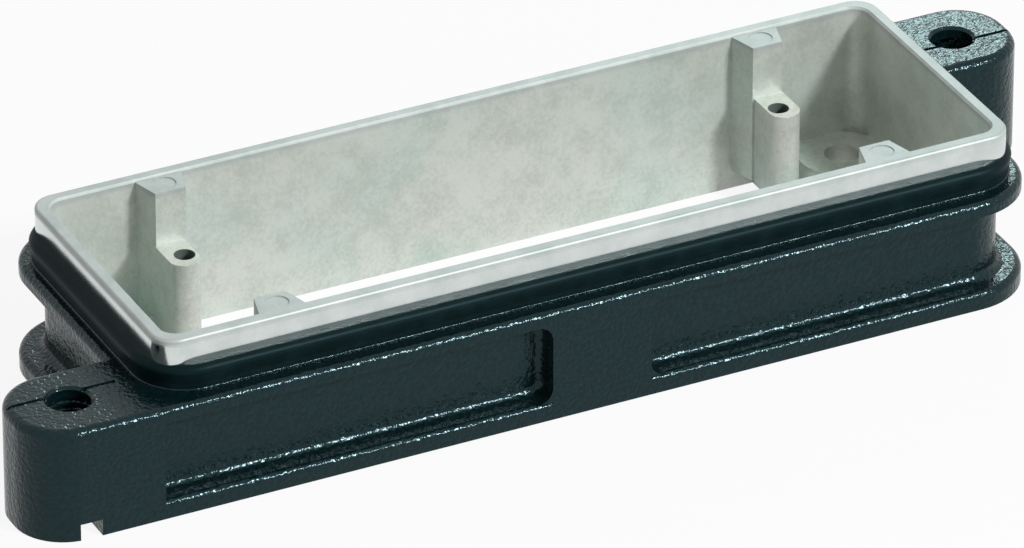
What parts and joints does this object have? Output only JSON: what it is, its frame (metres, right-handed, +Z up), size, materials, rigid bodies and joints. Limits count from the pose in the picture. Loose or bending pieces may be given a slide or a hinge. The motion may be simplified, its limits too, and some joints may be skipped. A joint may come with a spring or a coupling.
{
  "type": "heavy duty rectangular connector housing",
  "caption": "Bulkhead-mounting housing of a heavy duty rectangular connector: open rectangular collar with a seal, recessed flanged body and two threaded lugs.",
  "frame": {"origin": "centre of the bottom face that lies on the panel", "axes": "+X along the housing's length, +Y to the back, +Z up out of the panel, the way the mating hood comes off"},
  "size_m": [0.1936, 0.059, 0.0277],
  "materials": {
    "housing": "semi-gloss textured powder coat, with the collar and the inside left as bare cast aluminium",
    "collar_seal": "matte black rubber",
    "panel_seal": "matte black rubber"
  },
  "bodies": {
    "root": {"housing": "housing", "collar_seal": "collar_seal", "panel_seal": "panel_seal"}
  },
  "joints": []
}
